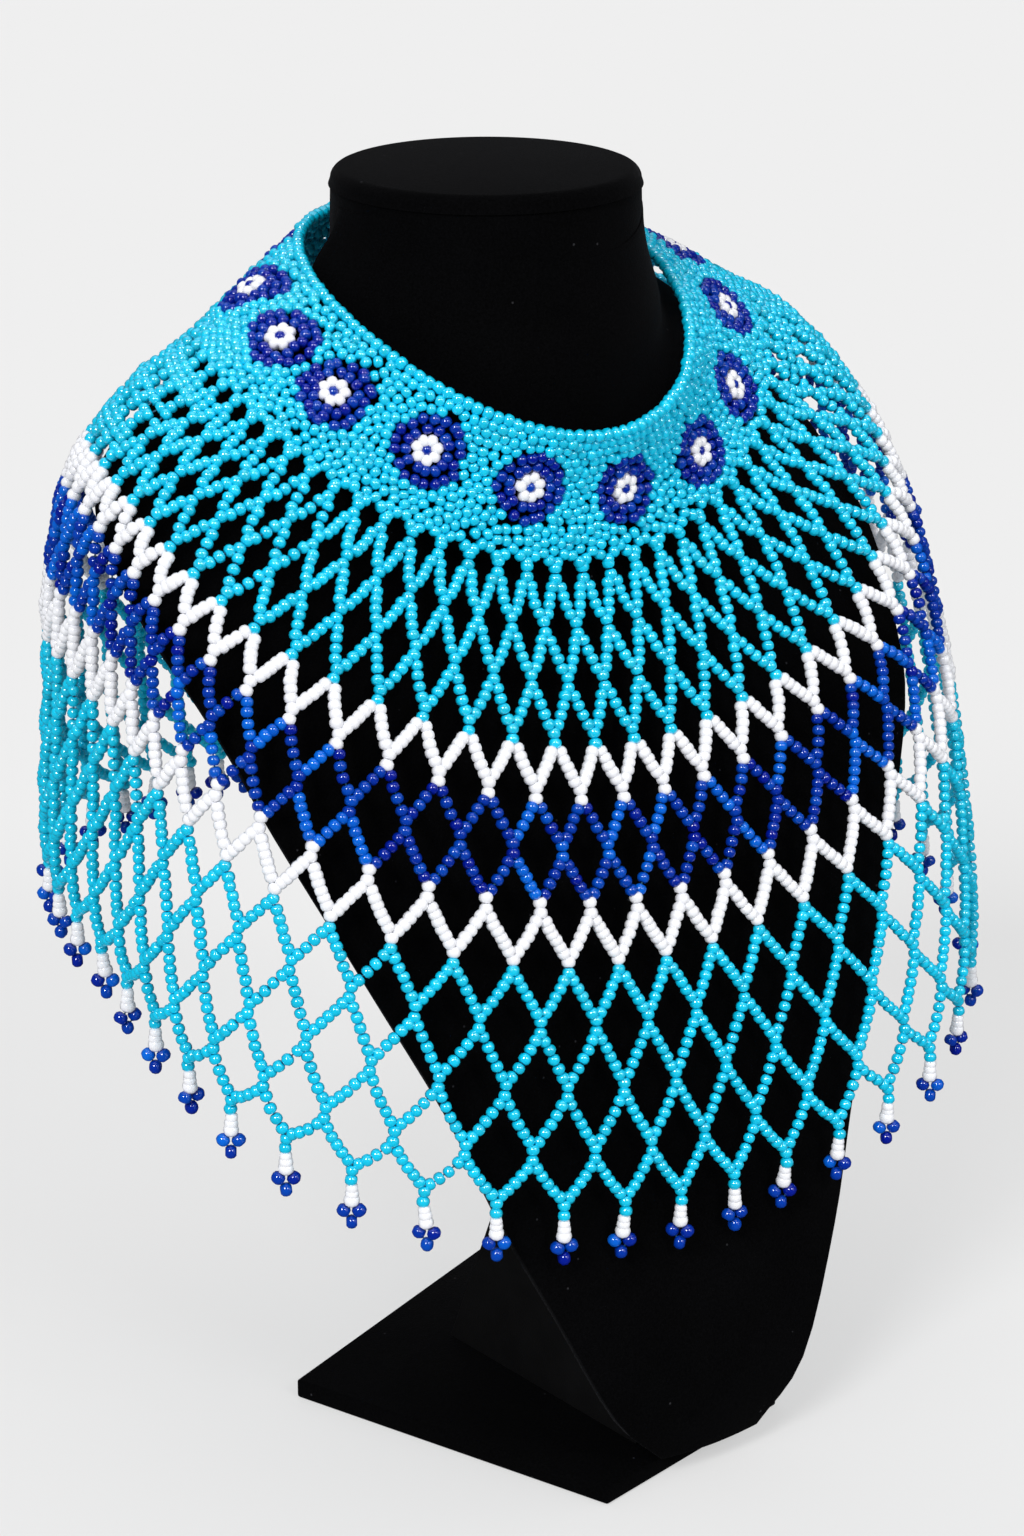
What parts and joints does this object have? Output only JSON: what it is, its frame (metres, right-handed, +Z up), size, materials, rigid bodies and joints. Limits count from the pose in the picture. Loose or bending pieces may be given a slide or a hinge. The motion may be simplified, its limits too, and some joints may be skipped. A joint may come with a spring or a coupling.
{
  "type": "beaded collar necklace on a neck bust",
  "caption": "Netted glass-bead collar necklace with eye rosettes and a hem of bead drops, worn by a plain black neck bust.",
  "frame": {"origin": "on the underside of the base board, below the middle plane of the neck, at the middle of the board's depth", "axes": "+Z up along the neck, -Y towards the front of the chest, +X to the wearer's left"},
  "size_m": [0.2896, 0.201, 0.3695],
  "materials": {
    "black_velvet": "short black velvet",
    "black_leatherette": "smooth black leatherette",
    "turquoise_beads": "opaque glossy turquoise glass beads",
    "blue_beads": "glossy cobalt blue glass beads",
    "white_beads": "opaque glossy white glass beads"
  },
  "bodies": {
    "root": {"base_board": "black_velvet", "brace": "black_leatherette", "chest_panel": "black_velvet", "neck": "black_velvet", "neck_cap": "black_velvet", "collar_band": "turquoise_beads", "upper_net": "turquoise_beads", "middle_net": "blue_beads", "lower_net": "turquoise_beads", "drop_fringe": "blue_beads", "back_clasp": "white_beads"}
  },
  "joints": []
}
